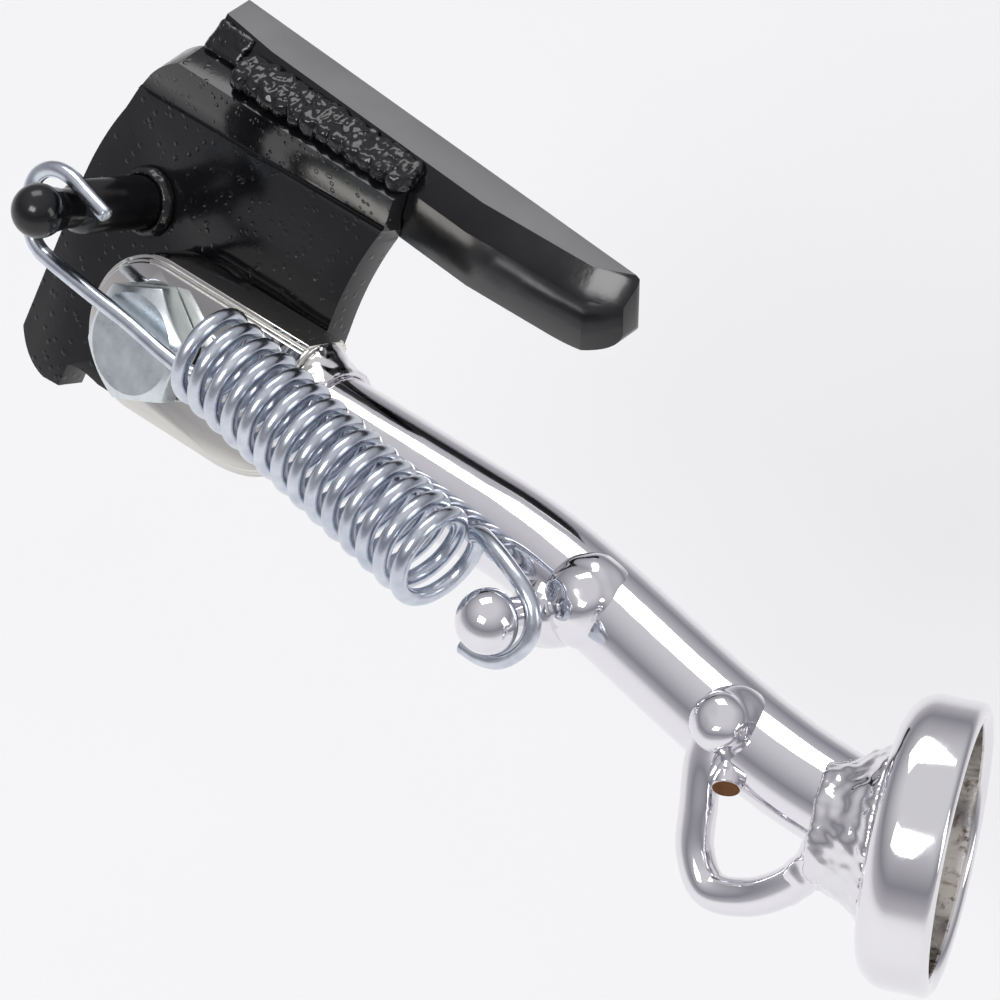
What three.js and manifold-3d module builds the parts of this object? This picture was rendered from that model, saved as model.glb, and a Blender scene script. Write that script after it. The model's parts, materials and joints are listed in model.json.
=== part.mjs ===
// Weld-on side stand (kickstand) for a motorcycle, folded.
// Frame: origin at the middle of the weld face on top of the mounting bar, +X towards the foot,
// +Y inboard, +Z up out of the weld face. Millimetres.
import * as THREE from 'three';
import { mergeVertices } from 'three/addons/utils/BufferGeometryUtils.js';
import Module from 'manifold-3d';

const wasm = await Module();
wasm.setup();

// ---------------------------------------------------------------- driving dimensions
const GAP = 0.3; // clearance kept between separate solids

// Mounting bar
const BAR_LENGTH = 92;
const BAR_WIDTH = 9.9;
const BAR_HEIGHT = 16;
const BAR_BEVEL = 3.9;
const BAR_TAPER_START = 16.2; // x where the front side starts to taper
const BAR_TAPER = 2.5; // how far the front side runs in by the clipped corner
const BAR_CLIP = 5.8; // length of the clipped plan corner at the +X end
const BAR_CLIP_DEPTH = 3.5; // how far the clipped corner runs in
const BAR_TOE_RADIUS = 13; // rounded lower corner at the +X end

// Pivot frame: bolt axis is its Y, folded leg lies along its X
const PIVOT_ROLL = THREE.MathUtils.degToRad(30);
const PIVOT_PITCH = THREE.MathUtils.degToRad(5);
const CREASE_HEIGHT = 33.3; // bend line of the plate above the bolt axis
const BAR_SHIFT = 27.3; // bar middle ahead of the bolt axis
const BAR_FOOT_Y = 18.7; // lower front edge of the bar in the pivot frame
const BAR_FOOT_Z = 30.8;

// Pivot plate
const PLATE_FRONT = 12.8;
const PLATE_THICKNESS = 6;
const PLATE_BACK = PLATE_FRONT + PLATE_THICKNESS;
const FLANGE_HEIGHT = 8.6;
const PLATE_LEFT = -28.4; // ends of the bend line
const PLATE_WIDTH = 57.2;

// Bolt, bushing, washers and nut
const HEX_FLATS = 19.05;
const HEX_HEIGHT = 5.4;
const HEX_TURN = THREE.MathUtils.degToRad(21);
const HEX_CHAMFER_RADIUS = 8.6;
const SHANK_RADIUS = 6.1;
const BOLT_END = 34;
const BUSHING_INNER = 6.4;
const BUSHING_OUTER = 8.0;

// Leg
const HEAD_THICKNESS = 11.6;
const HEAD_HALF_WIDTH = 13.6;
const HEAD_NOSE_X = -2;
const HEAD_END_X = 30;
const HEAD_EDGE = 1.3;
const TUBE_RADIUS = 7.94;
const TUBE_Y = 6.05;
const TUBE_Z = 2.5;
const SPRING_SIDE_Y = -2.2; // nothing on the leg's head stands further outboard beside the coil
const BEND_START = 72;
const BEND_END = 147;
const BEND_OUT = 4.0;
const BEND_DOWN = 7.4;
const LEG_END_X = 158;

// Spring and its studs
const WIRE_RADIUS = 1.4;
const COIL_RADIUS = 7.3; // to the wire's centre line
const COIL_TURNS = 14.22;
const COIL_FIRST_ANGLE = THREE.MathUtils.degToRad(218); // from outboard towards the top
const UPPER_STUD = new THREE.Vector3(-19.6, 0, 15.7);
const LOWER_STUD = new THREE.Vector3(90.6, 0, -3.1);
const COIL_START = new THREE.Vector3(19.3, -11.5, 9.1);
const COIL_END = new THREE.Vector3(77.1, -11.5, -0.8);
const HOOK_PLANE_Y = -8.2;
const LOWER_HOOK_Y = -11.8;
const UPPER_STUD_RADIUS = 4.6;
const UPPER_GROOVE_RADIUS = 3.4;
const UPPER_BALL_Y = -14.2;
const LOWER_STUD_RADIUS = 3.1;
const LOWER_BALL_RADIUS = 5.3;
const LOWER_BALL_Y = -14.6;

// Kick loop
const LOOP_ROD_RADIUS = 3.0;
const LOOP_PLANE_Y = -6;

// Foot
const FOOT_RADIUS = 22.7;
const FOOT_HEIGHT = 12;
const FOOT_WALL = 3;
const FOOT_FLOOR = 4;
const FOOT_EDGE = 5;
const FOOT_AXIS = new THREE.Vector3(0.892, 0.413, 0.182).normalize();
const FOOT_BACK = new THREE.Vector3(160.1, 1.0, -5.2);

// ---------------------------------------------------------------- materials
const finish = (color, roughness, metalness) => new THREE.MeshStandardMaterial({ color, roughness, metalness });
const blackPaint = finish(0x121213, 0.25, 0.0);
const chrome = finish(0xd8d8d8, 0.08, 1.0);
const zinc = finish(0xbfc9cc, 0.3, 1.0);
const bronze = finish(0x9b6b3a, 0.45, 1.0);
const steel = finish(0x8e9194, 0.4, 1.0);

// ---------------------------------------------------------------- geometry helpers
const X_AXIS = new THREE.Vector3(1, 0, 0);
const Y_AXIS = new THREE.Vector3(0, 1, 0);
const Z_AXIS = new THREE.Vector3(0, 0, 1);

// A closed three.js geometry as a manifold solid.
function solid(geometry) {
  const bare = geometry.clone();
  bare.deleteAttribute('normal');
  bare.deleteAttribute('uv');
  const merged = mergeVertices(bare, 1e-4);
  const mesh = new wasm.Mesh({
    numProp: 3,
    vertProperties: new Float32Array(merged.attributes.position.array),
    triVerts: new Uint32Array(merged.index.array),
  });
  return new wasm.Manifold(mesh);
}

// A manifold solid as a three.js geometry.
function shapeOf(manifold) {
  const mesh = manifold.getMesh();
  const geometry = new THREE.BufferGeometry();
  geometry.setAttribute('position', new THREE.BufferAttribute(new Float32Array(mesh.vertProperties), 3));
  geometry.setIndex(new THREE.BufferAttribute(new Uint32Array(mesh.triVerts), 1));
  geometry.computeVertexNormals();
  return geometry;
}

// A flat shape drawn in X and Z, thickened along Y from yFrom to yTo.
function slab(shape, yFrom, yTo, curveSegments = 12) {
  const geometry = new THREE.ExtrudeGeometry(shape, { depth: yTo - yFrom, bevelEnabled: false, curveSegments });
  geometry.rotateX(Math.PI / 2);
  geometry.translate(0, yTo, 0);
  return geometry;
}

// A solid of revolution about Y from [radius, y] pairs, starting and ending on the axis.
function turned(profile, segments = 32) {
  const points = profile.map(([radius, y]) => new THREE.Vector2(radius, y));
  return new THREE.LatheGeometry(points, segments);
}

// A ring about Y with a rectangular section.
function ring(inner, outer, yFrom, yTo, segments = 32) {
  const profile = [[inner, yFrom], [outer, yFrom], [outer, yTo], [inner, yTo], [inner, yFrom]];
  return turned(profile, segments);
}

// A round bar of the given radius swept along a curve.
function sweep(curve, radius, sides, steps) {
  const section = new THREE.Shape();
  section.absarc(0, 0, radius, 0, Math.PI * 2, false);
  return new THREE.ExtrudeGeometry(section, {
    steps, extrudePath: curve, curveSegments: sides / 2, bevelEnabled: false,
  });
}

// Turns a geometry made about Y so that its Y runs along a direction, then moves it.
function aim(geometry, direction, position) {
  const turn = new THREE.Quaternion().setFromUnitVectors(Y_AXIS, direction.clone().normalize());
  geometry.applyQuaternion(turn);
  geometry.translate(position.x, position.y, position.z);
  return geometry;
}

// A weld bead: a ball flattened to half sizes (a, b, c) at a place.
function blob(center, a, b, c, segments = 20) {
  const geometry = new THREE.SphereGeometry(1, segments, Math.round(segments * 0.6));
  geometry.scale(a, b, c);
  geometry.translate(center.x, center.y, center.z);
  return geometry;
}

const product = new THREE.Group();
const pivotFrame = new THREE.Group();
pivotFrame.rotation.set(-PIVOT_ROLL, -PIVOT_PITCH, 0);
const pivotTurn = new THREE.Matrix4().makeRotationFromEuler(pivotFrame.rotation);
const flangeRoot = new THREE.Vector3(BAR_SHIFT, BAR_FOOT_Y, BAR_FOOT_Z);
const barFoot = new THREE.Vector3(0, -BAR_WIDTH / 2 - GAP, -BAR_HEIGHT);
pivotFrame.position.copy(barFoot).sub(flangeRoot.clone().applyMatrix4(pivotTurn));
pivotFrame.updateMatrixWorld(true);
const rootToPivot = pivotFrame.matrixWorld.clone().invert();
product.add(pivotFrame);

function addNode(parent, name, geometry, material) {
  const mesh = new THREE.Mesh(geometry, material);
  mesh.name = name;
  parent.add(mesh);
  return mesh;
}

// ---------------------------------------------------------------- mounting bar
function mountingBar() {
  const half = BAR_LENGTH / 2;
  const side = new THREE.Shape();
  side.moveTo(-half, 0);
  side.lineTo(half, 0);
  side.lineTo(half, -BAR_HEIGHT + BAR_TOE_RADIUS * 0.45);
  side.quadraticCurveTo(half - 1, -BAR_HEIGHT, half - BAR_TOE_RADIUS, -BAR_HEIGHT);
  side.lineTo(-half + 6, -BAR_HEIGHT);
  side.quadraticCurveTo(-half + 1, -BAR_HEIGHT * 0.6, -half, 0);
  const sideSolid = solid(slab(side, -BAR_WIDTH / 2, BAR_WIDTH / 2));

  const plan = new THREE.Shape();
  plan.moveTo(-half - 1, BAR_WIDTH / 2 + 1);
  plan.lineTo(-half - 1, -BAR_WIDTH / 2 + 3.4);
  plan.quadraticCurveTo(-half + 6, -BAR_WIDTH / 2, -half + 12, -BAR_WIDTH / 2);
  plan.lineTo(BAR_TAPER_START, -BAR_WIDTH / 2);
  plan.lineTo(half - BAR_CLIP, -BAR_WIDTH / 2 + BAR_TAPER);
  plan.lineTo(half, -BAR_WIDTH / 2 + BAR_TAPER + BAR_CLIP_DEPTH);
  plan.lineTo(half, BAR_WIDTH / 2 - 1.2);
  plan.quadraticCurveTo(half, BAR_WIDTH / 2, half - 1.2, BAR_WIDTH / 2 + 1);
  const planGeometry = new THREE.ExtrudeGeometry(plan, { depth: BAR_HEIGHT + 2, bevelEnabled: false });
  planGeometry.translate(0, 0, -BAR_HEIGHT - 1);
  let bar = sideSolid.intersect(solid(planGeometry));

  // Bevel along the front top edge, following the taper and the clipped corner.
  const edge = [
    new THREE.Vector2(-half - 2, -BAR_WIDTH / 2 + 1.2),
    new THREE.Vector2(-half + 12, -BAR_WIDTH / 2),
    new THREE.Vector2(BAR_TAPER_START, -BAR_WIDTH / 2),
    new THREE.Vector2(half - BAR_CLIP, -BAR_WIDTH / 2 + BAR_TAPER),
    new THREE.Vector2(half, -BAR_WIDTH / 2 + BAR_TAPER + BAR_CLIP_DEPTH),
  ];
  for (let i = 0; i + 1 < edge.length; i += 1) {
    bar = bar.subtract(bevelWedge(edge[i], edge[i + 1]));
  }
  return bar;
}

// A wedge that cuts a 45 degree bevel along one straight run of the bar's front top edge.
function bevelWedge(from, to) {
  const run = to.clone().sub(from);
  const section = new THREE.Shape();
  section.moveTo(-3, 0.5 + BAR_BEVEL + 3);
  section.lineTo(-3, -BAR_BEVEL - 3);
  section.lineTo(0, -BAR_BEVEL);
  section.lineTo(BAR_BEVEL + 0.5, 0.5);
  section.lineTo(BAR_BEVEL + 0.5, 4);
  const overlap = 6;
  const geometry = new THREE.ExtrudeGeometry(section, { depth: run.length() + 2 * overlap, bevelEnabled: false });
  geometry.translate(0, 0, -overlap);
  const along = new THREE.Vector3(run.x, run.y, 0).normalize();
  const inward = new THREE.Vector3(-along.y, along.x, 0);
  const basis = new THREE.Matrix4().makeBasis(inward, new THREE.Vector3(0, 0, 1), along);
  basis.setPosition(from.x, from.y, 0);
  geometry.applyMatrix4(basis);
  if (basis.determinant() < 0) {
    flip(geometry);
  }
  return solid(geometry);
}

// Reverses the faces of a geometry that a mirroring transform turned inside out.
function flip(geometry) {
  const position = geometry.attributes.position;
  for (let i = 0; i < position.count; i += 3) {
    const a = new THREE.Vector3().fromBufferAttribute(position, i);
    const c = new THREE.Vector3().fromBufferAttribute(position, i + 2);
    position.setXYZ(i, c.x, c.y, c.z);
    position.setXYZ(i + 2, a.x, a.y, a.z);
  }
}

// ---------------------------------------------------------------- pivot plate
function plateOutline() {
  const shape = new THREE.Shape();
  shape.moveTo(PLATE_LEFT, CREASE_HEIGHT);
  shape.lineTo(-30.1, 28.3);
  shape.quadraticCurveTo(-33.5, 21.5, -34.7, 13.2);
  shape.lineTo(-36.0, 1.3);
  shape.lineTo(-38.1, -16.5);
  shape.quadraticCurveTo(-35.5, -21.8, -30.6, -22.8);
  shape.lineTo(-26.8, -22.6);
  shape.lineTo(-26.2, -18.4);
  shape.quadraticCurveTo(-24, -17.2, -18.6, -18.4);
  shape.lineTo(4, -18.4);
  shape.quadraticCurveTo(18, -17, 23.4, 0);
  shape.lineTo(24.2, 12);
  shape.quadraticCurveTo(24.4, 23, PLATE_LEFT + PLATE_WIDTH, CREASE_HEIGHT);
  shape.closePath();
  return shape;
}

function flangeOutline() {
  const shape = new THREE.Shape();
  shape.moveTo(PLATE_LEFT, -0.2);
  shape.lineTo(-25.5, 3.8);
  shape.quadraticCurveTo(-22, 8, -18, FLANGE_HEIGHT + 1.5);
  shape.lineTo(31.5, FLANGE_HEIGHT - 1);
  shape.lineTo(PLATE_LEFT + PLATE_WIDTH, -0.2);
  shape.closePath();
  return shape;
}

function pivotPlate(keepOut) {
  const lower = solid(slab(plateOutline(), PLATE_FRONT, PLATE_BACK));
  const flange = slab(flangeOutline(), 0, PLATE_THICKNESS);
  flange.rotateX(PIVOT_ROLL);
  flange.translate(0, PLATE_FRONT, CREASE_HEIGHT);
  // Round filler on the outside of the bend.
  const sector = new THREE.Shape();
  sector.moveTo(-0.5, -0.5);
  sector.lineTo(PLATE_THICKNESS, -0.5);
  sector.absarc(0, 0, PLATE_THICKNESS, 0, PIVOT_ROLL, false);
  sector.closePath();
  const filler = new THREE.ExtrudeGeometry(sector, { depth: PLATE_WIDTH, bevelEnabled: false, curveSegments: 6 });
  filler.applyMatrix4(new THREE.Matrix4().makeBasis(Y_AXIS, Z_AXIS, X_AXIS));
  filler.translate(PLATE_LEFT, PLATE_FRONT, CREASE_HEIGHT);
  const hole = turned([[0, 0], [6.6, 0], [6.6, 40], [0, 40]]);
  const plate = lower.add(solid(flange)).add(solid(filler));
  return largest(plate.subtract(solid(hole)).subtract(keepOut));
}

// ---------------------------------------------------------------- bracket welds
// A lumpy bead along the plate's top edge, on the bar's front face.
function barWeldFront(bar, plate) {
  const start = new THREE.Vector3(-5.5, 0, FLANGE_HEIGHT + 1.6);
  const end = new THREE.Vector3(29.5, 0, FLANGE_HEIGHT - 0.4);
  const lumps = 12;
  let bead = null;
  for (let i = 0; i < lumps; i += 1) {
    const at = start.clone().lerp(end, i / (lumps - 1));
    const lump = blob(at, 2.6, 3.6, 2.3 + 0.25 * (i % 3), 12);
    lump.translate(0, PLATE_THICKNESS - 1.2, 1.2);
    lump.rotateX(PIVOT_ROLL);
    lump.translate(0, PLATE_FRONT, CREASE_HEIGHT);
    bead = bead ? bead.add(solid(lump)) : solid(lump);
  }
  return shapeOf(largest(bead.subtract(bar).subtract(plate)));
}

// A hollow fillet at the bar's -X end, from the plate's shoulder up to the bar's top edge.
function barWeldEnd(bar, plate) {
  const section = new THREE.Shape();
  section.moveTo(-13.2, -6.4);
  section.quadraticCurveTo(-6.4, -5.6, -1.6, -0.5);
  section.lineTo(2, -0.5);
  section.lineTo(2, -10);
  section.lineTo(-12.4, -10);
  section.closePath();
  const web = new THREE.ExtrudeGeometry(section, { depth: 9, bevelEnabled: false });
  web.applyMatrix4(new THREE.Matrix4().makeBasis(Y_AXIS, Z_AXIS, X_AXIS));
  web.translate(-BAR_LENGTH / 2 + 0.2, 0, 0);
  return shapeOf(largest(solid(web).subtract(bar).subtract(plate)));
}

// The biggest connected body of a solid.
function largest(manifold) {
  const bodies = manifold.decompose();
  return bodies.reduce((best, body) => (body.volume() > best.volume() ? body : best));
}

// A solid grown outwards by cutting with copies shifted by the gap along each axis.
function grown(manifold) {
  const shifts = [[GAP, 0, 0], [-GAP, 0, 0], [0, GAP, 0], [0, -GAP, 0], [0, 0, GAP], [0, 0, -GAP]];
  return shifts.reduce((sum, shift) => sum.add(manifold.translate(shift)), manifold);
}

// ---------------------------------------------------------------- leg centre line
// 0 before the bend, 1 after it.
function bendShare(x) {
  const t = THREE.MathUtils.clamp((x - BEND_START) / (BEND_END - BEND_START), 0, 1);
  return t * t * (3 - 2 * t);
}

function legPoint(x) {
  const share = bendShare(x);
  return new THREE.Vector3(x, TUBE_Y - BEND_OUT * share, TUBE_Z - BEND_DOWN * share);
}

class LegCurve extends THREE.Curve {
  constructor(from, to) {
    super();
    this.from = from;
    this.to = to;
  }

  getPoint(t, target = new THREE.Vector3()) {
    return target.copy(legPoint(this.from + (this.to - this.from) * t));
  }
}

function legBar(from, to, radius, sides = 28, steps = 24) {
  return solid(sweep(new LegCurve(from, to), radius, sides, steps));
}

// ---------------------------------------------------------------- leg head
function legHead() {
  const outline = (inset) => {
    const h = HEAD_HALF_WIDTH - inset;
    const shape = new THREE.Shape();
    shape.moveTo(HEAD_END_X, h);
    shape.lineTo(HEAD_NOSE_X, h);
    shape.absarc(HEAD_NOSE_X, 0, h, Math.PI / 2, -Math.PI / 2, false);
    shape.lineTo(19, -h);
    shape.quadraticCurveTo(26, -h + 0.4, HEAD_END_X, -10.2 + inset);
    shape.closePath();
    return shape;
  };
  let head = solid(slab(outline(0), HEAD_EDGE, HEAD_THICKNESS - HEAD_EDGE, 20));
  head = head.add(solid(slab(outline(HEAD_EDGE * 0.55), HEAD_EDGE * 0.3, HEAD_THICKNESS - HEAD_EDGE * 0.3, 20)));
  head = head.add(solid(slab(outline(HEAD_EDGE), 0, HEAD_THICKNESS, 20)));
  const bore = turned([[0, -1], [BUSHING_OUTER + GAP, -1], [BUSHING_OUTER + GAP, 20], [0, 20]], 36);
  return shapeOf(head.subtract(solid(bore)));
}

// The weld that blends the flat head into the round leg.
function headWeld() {
  const from = HEAD_END_X + GAP;
  const collar = aim(turned([[0, 0], [12.2, 0], [11.2, 2.4], [9.3, 5.6], [8.4, 8], [0, 8]], 32), X_AXIS,
    new THREE.Vector3(0, 0, 0));
  collar.scale(1, 0.62, 1);
  collar.translate(from, TUBE_Y, 1.4);
  const band = aim(turned([[0, 0], [9.2, 0], [9.3, 2], [8.7, 5.5], [0, 5.5]], 32), X_AXIS,
    new THREE.Vector3(from, TUBE_Y, TUBE_Z));
  const bore = aim(turned([[0, -2], [TUBE_RADIUS + GAP, -2], [TUBE_RADIUS + GAP, 20], [0, 20]], 32), X_AXIS,
    new THREE.Vector3(from, TUBE_Y, TUBE_Z));
  // Dressed flat on the outboard side, where the spring passes.
  const keep = new THREE.BoxGeometry(20, 30, 40);
  keep.translate(from + 10 - GAP, SPRING_SIDE_Y + 15, 0);
  return shapeOf(largest(solid(collar).add(solid(band)).subtract(solid(bore)).intersect(solid(keep))));
}

// ---------------------------------------------------------------- studs
function upperStud() {
  const y = UPPER_BALL_Y;
  const r = UPPER_STUD_RADIUS;
  const profile = [[0, y - r]];
  for (let i = 1; i <= 7; i += 1) {
    const a = (i / 7) * (Math.PI * 0.68);
    profile.push([r * Math.sin(a), y - r * Math.cos(a)]);
  }
  profile.push([UPPER_GROOVE_RADIUS, y + r * 0.9]);
  profile.push([UPPER_GROOVE_RADIUS, HOOK_PLANE_Y + 2.2]);
  profile.push([r, HOOK_PLANE_Y + 3.6]);
  profile.push([r, PLATE_FRONT - GAP]);
  profile.push([0, PLATE_FRONT - GAP]);
  return turned(profile, 24).translate(UPPER_STUD.x, 0, UPPER_STUD.z);
}

function upperStudWeld() {
  const profile = [
    [UPPER_STUD_RADIUS + GAP, PLATE_FRONT - GAP], [UPPER_STUD_RADIUS + GAP, PLATE_FRONT - 2.0],
    [UPPER_STUD_RADIUS + 0.6, PLATE_FRONT - 1.9], [UPPER_STUD_RADIUS + 1.2, PLATE_FRONT - 1.1],
    [UPPER_STUD_RADIUS + 1.5, PLATE_FRONT - GAP], [UPPER_STUD_RADIUS + GAP, PLATE_FRONT - GAP],
  ];
  return turned(profile, 24).translate(UPPER_STUD.x, 0, UPPER_STUD.z);
}

function lowerStud() {
  const y = LOWER_BALL_Y;
  const r = LOWER_BALL_RADIUS;
  const profile = [[0, y - r]];
  for (let i = 1; i <= 8; i += 1) {
    const a = (i / 8) * (Math.PI * 0.55);
    profile.push([r * Math.sin(a), y - r * Math.cos(a)]);
  }
  profile.push([LOWER_STUD_RADIUS, y + r * 0.38]);
  profile.push([LOWER_STUD_RADIUS, 8]);
  profile.push([0, 8]);
  const stud = turned(profile, 24).translate(LOWER_STUD.x, 0, LOWER_STUD.z);
  return shapeOf(solid(stud).subtract(legBar(60, 120, TUBE_RADIUS + GAP)));
}

function lowerStudWeld() {
  const dome = blob(new THREE.Vector3(LOWER_STUD.x + 6.0, -0.4, LOWER_STUD.z + 5.0), 6.2, 5.2, 6.2, 24);
  const skirt = blob(new THREE.Vector3(LOWER_STUD.x + 2.4, -0.2, LOWER_STUD.z + 0.2), 6.6, 4.4, 6.2, 24);
  const shank = turned([[0, -40], [LOWER_STUD_RADIUS + GAP, -40], [LOWER_STUD_RADIUS + GAP, 20], [0, 20]], 24);
  shank.translate(LOWER_STUD.x, 0, LOWER_STUD.z);
  const lump = solid(dome).add(solid(skirt));
  return shapeOf(largest(lump.subtract(legBar(60, 120, TUBE_RADIUS + GAP)).subtract(solid(shank))));
}

// ---------------------------------------------------------------- kick loop
function loopCurve() {
  const path = [
    [130.7, -1.0], [130.2, -4.6], [130.3, -7.8], [132.0, -13.9], [134.4, -21.4], [138.8, -25.3],
    [145.5, -23.1], [151.3, -17.9], [154.8, -11.9], [157.0, -7.7],
  ];
  const points = path.map(([x, z]) => new THREE.Vector3(x, LOOP_PLANE_Y, z));
  return new THREE.CatmullRomCurve3(points, false, 'centripetal');
}

function loopSolid(radius) {
  return solid(sweep(loopCurve(), radius, 14, 32));
}

function footBlock() {
  const block = turned([[0, 0], [FOOT_RADIUS + 8, 0], [FOOT_RADIUS + 8, 30], [0, 30]], 36);
  return solid(aim(block, FOOT_AXIS, FOOT_BACK.clone().addScaledVector(FOOT_AXIS, -GAP)));
}

function kickLoop() {
  const cut = loopSolid(LOOP_ROD_RADIUS).subtract(legBar(100, 165, TUBE_RADIUS + GAP)).subtract(footBlock());
  return shapeOf(largest(cut.subtract(neckSolid(GAP))));
}

function loopWeldUpper() {
  const dome = blob(new THREE.Vector3(130.5, LOOP_PLANE_Y + 0.8, -1.1), 4.9, 4.8, 4.9, 20);
  const cut = solid(dome).subtract(legBar(100, 165, TUBE_RADIUS + GAP)).subtract(loopSolid(LOOP_ROD_RADIUS + GAP));
  return shapeOf(largest(cut));
}

function loopWeldLower() {
  const dome = blob(new THREE.Vector3(152.6, LOOP_PLANE_Y + 1, -12.4), 4.8, 4.6, 5.0, 20);
  const cut = solid(dome).subtract(legBar(100, 165, TUBE_RADIUS + GAP)).subtract(loopSolid(LOOP_ROD_RADIUS + GAP));
  return shapeOf(largest(cut.subtract(neckSolid(GAP))));
}

// ---------------------------------------------------------------- foot
function neckSolid(grow) {
  const back = FOOT_BACK.clone().addScaledVector(FOOT_AXIS, -GAP);
  const lengthwise = FOOT_AXIS.clone().multiplyScalar(-1);
  const flare = turned([
    [0, 0], [14.2 + grow, 0], [12.2 + grow, 2.2], [10.6 + grow, 5.2], [9.4 + grow, 9.5], [0, 9.5],
  ], 32);
  return solid(aim(flare, lengthwise, back));
}

function footWeld() {
  return shapeOf(largest(neckSolid(0).subtract(legBar(110, 175, TUBE_RADIUS + GAP))));
}

function footCup() {
  const r = FOOT_RADIUS;
  const e = FOOT_EDGE;
  const profile = [[0, 0], [r - e - 1.5, 0]];
  for (let i = 1; i <= 5; i += 1) {
    const a = (i / 5) * (Math.PI / 2);
    profile.push([r - e + e * Math.sin(a), e - e * Math.cos(a)]);
  }
  profile.push([r, FOOT_HEIGHT - 1]);
  profile.push([r - 1, FOOT_HEIGHT]);
  profile.push([r - FOOT_WALL, FOOT_HEIGHT]);
  profile.push([r - FOOT_WALL - 0.6, FOOT_FLOOR + 1]);
  profile.push([r - FOOT_WALL - 1.6, FOOT_FLOOR]);
  profile.push([0, FOOT_FLOOR]);
  return aim(turned(profile, 40), FOOT_AXIS, FOOT_BACK);
}

function legTube() {
  const bar = legBar(HEAD_END_X + GAP, LEG_END_X + 12, TUBE_RADIUS);
  return shapeOf(largest(bar.subtract(footBlock())));
}

// ---------------------------------------------------------------- bolt, bushing, washers, nut
function hexPrism(yFrom, yTo) {
  const shape = new THREE.Shape();
  const corner = HEX_FLATS / Math.sqrt(3);
  for (let i = 0; i < 6; i += 1) {
    const a = HEX_TURN + (i * Math.PI) / 3;
    const x = corner * Math.cos(a);
    const z = corner * Math.sin(a);
    if (i === 0) {
      shape.moveTo(x, z);
    } else {
      shape.lineTo(x, z);
    }
  }
  shape.closePath();
  return solid(slab(shape, yFrom, yTo));
}

function pivotBolt() {
  const r = HEX_CHAMFER_RADIUS;
  const crown = turned([[0, -HEX_HEIGHT], [r, -HEX_HEIGHT], [r + 4, -HEX_HEIGHT + 2.4], [r + 4, 4], [0, 4]], 40);
  const head = hexPrism(-HEX_HEIGHT, -GAP).intersect(solid(crown));
  const shank = turned([
    [0, -2], [SHANK_RADIUS, -2], [SHANK_RADIUS, BOLT_END - 1], [SHANK_RADIUS - 1, BOLT_END], [0, BOLT_END],
  ], 28);
  return shapeOf(head.add(solid(shank)));
}

function lockNut() {
  const from = PLATE_BACK + 2.4;
  const r = HEX_FLATS / 2 - 0.6;
  const crown = turned([
    [0, from], [r, from], [r + 3, from + 1.6], [r + 3, from + 7], [r, from + 8.4], [7.6, from + 9.4],
    [7.6, from + 11], [0, from + 11],
  ], 32);
  const bore = turned([[0, 0], [SHANK_RADIUS + GAP, 0], [SHANK_RADIUS + GAP, 50], [0, 50]], 28);
  return shapeOf(hexPrism(from, from + 11).intersect(solid(crown)).subtract(solid(bore)));
}

// ---------------------------------------------------------------- spring
const SPRING_AXIS = COIL_END.clone().sub(COIL_START).normalize();
const SPRING_SIDE = new THREE.Vector3(0, -1, 0);
const SPRING_UP = new THREE.Vector3().crossVectors(SPRING_SIDE, SPRING_AXIS).normalize();
const COIL_GAP_TURN = (GAP + 0.05) / (2 * Math.PI * COIL_RADIUS); // the gap as a share of a turn

// A point on the coil: turn counts whole turns from the upper end.
function coilPoint(turn) {
  const pitch = COIL_END.distanceTo(COIL_START) / COIL_TURNS;
  const a = COIL_FIRST_ANGLE - turn * 2 * Math.PI;
  return COIL_START.clone()
    .addScaledVector(SPRING_AXIS, turn * pitch)
    .addScaledVector(SPRING_SIDE, COIL_RADIUS * Math.cos(a))
    .addScaledVector(SPRING_UP, COIL_RADIUS * Math.sin(a));
}

class CoilCurve extends THREE.Curve {
  getPoint(t, target = new THREE.Vector3()) {
    return target.copy(coilPoint(t * COIL_TURNS));
  }
}

function wire(points, steps) {
  return sweep(new THREE.CatmullRomCurve3(points, false, 'centripetal'), WIRE_RADIUS, 10, steps);
}

// Points of a flat hook: [x, z] pairs in the plane at the given y.
function flatPoints(y, pairs) {
  return pairs.map(([x, z]) => new THREE.Vector3(x, y, z));
}

function upperHook() {
  const hook = [
    [9.8, 2.9], [0.7, 4.3], [-8.4, 5.2], [-15.4, 6.0], [-19.3, 6.5], [-21.5, 6.9], [-23.9, 8.2], [-26.5, 11.6],
    [-27.4, 15.0], [-27.0, 18.2], [-25.3, 20.2], [-23.0, 21.2], [-20.0, 21.3], [-15.9, 20.2], [-10.6, 18.8],
  ];
  const points = [
    coilPoint(-COIL_GAP_TURN),
    coilPoint(-0.03),
    new THREE.Vector3(17.2, -6.8, 2.7),
    new THREE.Vector3(14.2, -7.7, 2.3),
    ...flatPoints(HOOK_PLANE_Y, hook),
  ];
  return wire(points, 46);
}

function lowerHook() {
  const hook = [
    [93.4, 3.3], [95.5, 1.6], [96.7, -0.8], [96.8, -3.7], [95.3, -6.8], [92.8, -9.3], [89.5, -10.4],
    [85.8, -10.4],
  ];
  const points = [
    coilPoint(COIL_TURNS + COIL_GAP_TURN),
    coilPoint(COIL_TURNS + 0.03),
    new THREE.Vector3(79.9, -8.0, 5.7),
    new THREE.Vector3(84.0, -10.0, 5.9),
    new THREE.Vector3(89.6, -11.4, 4.8),
    ...flatPoints(LOWER_HOOK_Y, hook),
  ];
  return wire(points, 36);
}

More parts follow.
